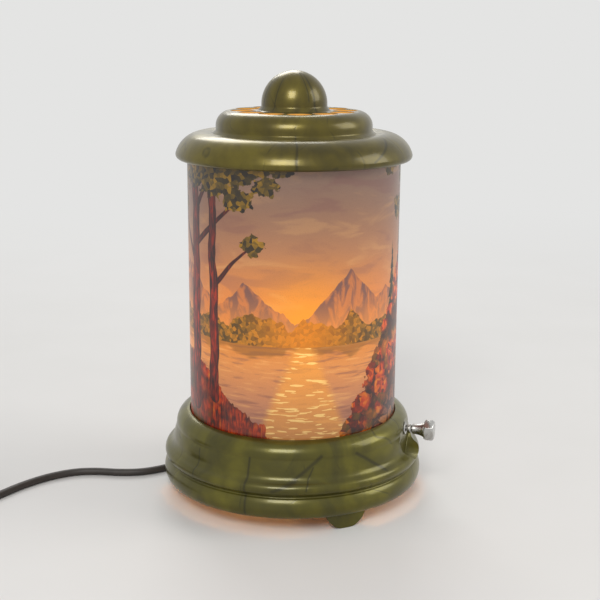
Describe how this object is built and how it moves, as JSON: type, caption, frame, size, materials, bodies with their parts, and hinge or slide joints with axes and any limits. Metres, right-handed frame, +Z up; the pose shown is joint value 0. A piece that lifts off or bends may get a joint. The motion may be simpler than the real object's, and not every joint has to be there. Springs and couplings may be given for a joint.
{
  "type": "motion lamp",
  "caption": "Cylindrical motion lamp: a heat-driven film rotor turns inside a printed sleeve, between a moulded base and a vented, domed lid.",
  "frame": {"origin": "on the lamp's upright axis, on the surface that its feet stand on", "axes": "+Z up along the lamp's axis; -Y towards one of the three feet; the switch stem points 39 degrees from +X towards -Y"},
  "size_m": [0.3669, 0.2599, 0.28],
  "materials": {
    "moulded_plastic": "marbled olive moulding, glossy with fine flow lines",
    "printed_acetate": "printed translucent sheet, satin gloss",
    "rotor_film": "tinted translucent film, satin",
    "plated_steel": "nickel plated, softly polished",
    "brass": "spun brass, lightly dulled",
    "aluminium": "rolled sheet, satin",
    "bakelite": "dark brown moulded bakelite, semi-gloss",
    "fibre_board": "pressed fibre, matte",
    "frosted_glass": "inside frosted glass",
    "tungsten": "drawn wire",
    "cord_rubber": "dark brown rubber, satin"
  },
  "bodies": {
    "root": {"base_shell": "moulded_plastic", "spider_bracket": "plated_steel", "bracket_screw_1": "plated_steel", "bracket_screw_2": "plated_steel", "bracket_screw_3": "plated_steel", "socket_nipple": "brass", "nipple_nut": "plated_steel", "socket_cap": "brass", "socket_shell": "brass", "socket_liner": "fibre_board", "socket_body": "bakelite", "terminal_screw_1": "brass", "terminal_screw_2": "brass", "screw_shell": "brass", "centre_contact": "brass", "bulb_cap": "brass", "bulb_glass": "frosted_glass", "bulb_stem": "frosted_glass", "filament": "tungsten", "bail_wire": "plated_steel", "bail_nut_1": "plated_steel", "bail_nut_2": "plated_steel", "bail_nut_3": "plated_steel", "bail_nut_4": "plated_steel", "pivot_ferrule": "brass", "pivot_needle": "plated_steel", "stem_eyelet": "plated_steel", "strain_relief": "cord_rubber", "inner_lead": "cord_rubber", "cord_run": "cord_rubber", "cord_coil": "cord_rubber", "cord_tail": "cord_rubber", "plug_body": "bakelite", "plug_blade_1": "brass", "plug_blade_2": "brass"},
    "rotor": {"vane_wheel": "aluminium", "animation_film": "rotor_film", "film_hoop": "plated_steel", "pivot_cup": "brass", "film_rivet_1": "brass", "film_rivet_2": "brass", "film_rivet_3": "brass", "film_rivet_4": "brass", "film_rivet_5": "brass", "film_rivet_6": "brass"},
    "sleeve": {"picture_sleeve": "printed_acetate", "sleeve_seam": "printed_acetate"},
    "lid": {"lid": "moulded_plastic"},
    "switch": {"switch_stem": "plated_steel", "switch_cam": "bakelite", "stem_collar": "plated_steel", "switch_knob": "plated_steel"}
  },
  "joints": [
    {"name": "rotor_spin", "type": "hinge", "parent": "root", "child": "rotor", "pos_m": [0, 0, 0.227], "axis": [0, 0, 1], "continuous": true},
    {"name": "sleeve_lift", "type": "slide", "parent": "root", "child": "sleeve", "axis": [0, 0, 1], "range_m": [0, 0.185]},
    {"name": "lid_lift", "type": "slide", "parent": "sleeve", "child": "lid", "axis": [0, 0, 1], "range_m": [0, 0.06]},
    {"name": "switch_turn", "type": "hinge", "parent": "root", "child": "switch", "pos_m": [0, 0, 0.0465], "axis": [0.7771, -0.6293, 0], "continuous": true}
  ]
}
